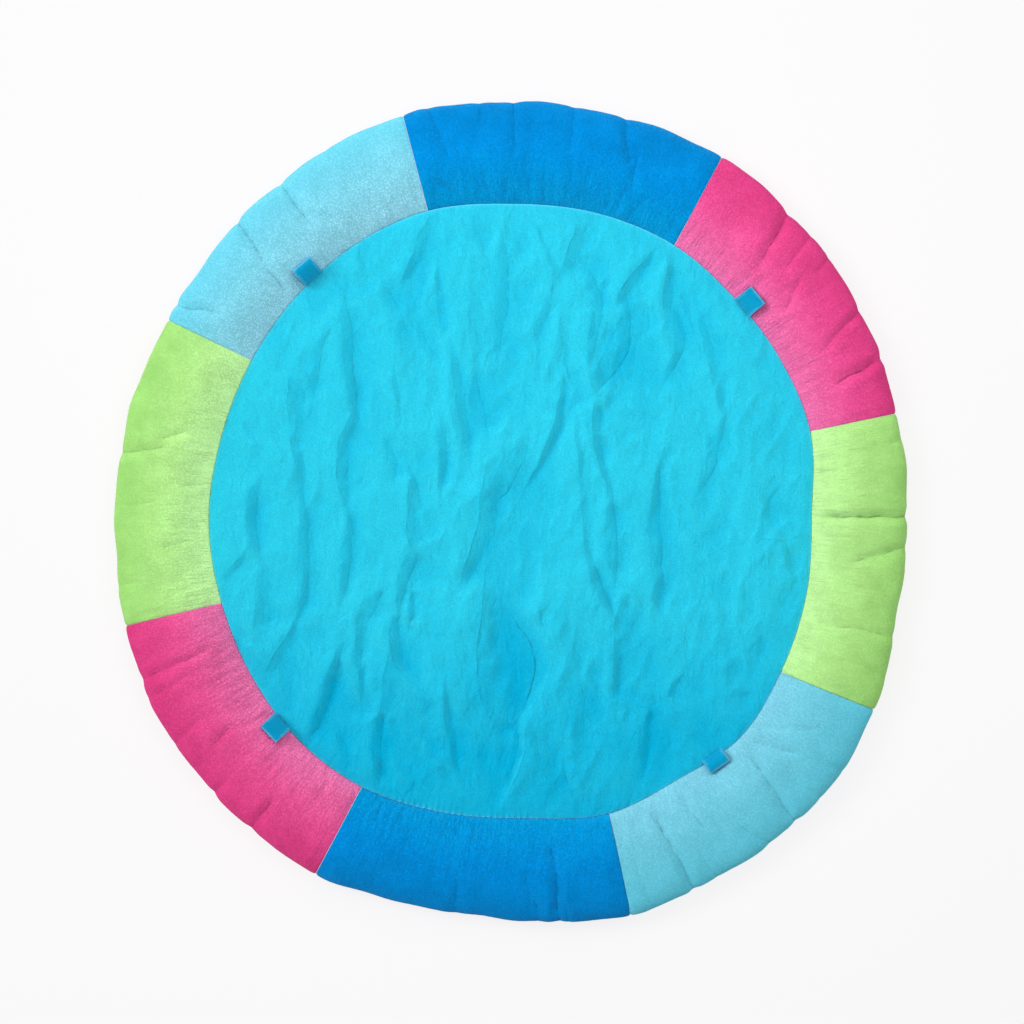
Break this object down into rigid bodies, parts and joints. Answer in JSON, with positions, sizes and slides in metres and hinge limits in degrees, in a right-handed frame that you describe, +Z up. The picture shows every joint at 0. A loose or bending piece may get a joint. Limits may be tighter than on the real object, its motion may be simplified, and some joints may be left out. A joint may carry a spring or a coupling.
{
  "type": "baby play mat",
  "caption": "Round padded play mat for a baby, with a raised stuffed fleece rim in coloured sections, a thin wadded cotton middle and small ribbon loops sewn into the inner seam.",
  "frame": {"origin": "on the ground, below the middle of the mat's outline box", "axes": "+Z up; the X and Y axes run along the ribbon loops, which face about +X, +Y, -X and -Y; seen from above the picture's right is 40 degrees clockwise from +X"},
  "size_m": [0.8786, 0.8854, 0.0456],
  "materials": {
    "fleece_pink": "brushed short-pile fleece, soft and matt",
    "fleece_blue": "brushed short-pile fleece, soft and matt",
    "fleece_aqua": "brushed short-pile fleece, soft and matt",
    "fleece_green": "brushed short-pile fleece, soft and matt",
    "cotton": "plain woven cotton, creased, with a faint sheen",
    "ribbon": "woven grosgrain ribbon, faint sheen"
  },
  "bodies": {
    "root": {"rim_pink_1": "fleece_pink", "rim_blue_1": "fleece_blue", "rim_aqua_1": "fleece_aqua", "rim_green_1": "fleece_green", "rim_pink_2": "fleece_pink", "rim_blue_2": "fleece_blue", "rim_aqua_2": "fleece_aqua", "rim_green_2": "fleece_green", "centre": "cotton", "loop_1": "ribbon", "loop_2": "ribbon", "loop_3": "ribbon", "loop_4": "ribbon"}
  },
  "joints": []
}
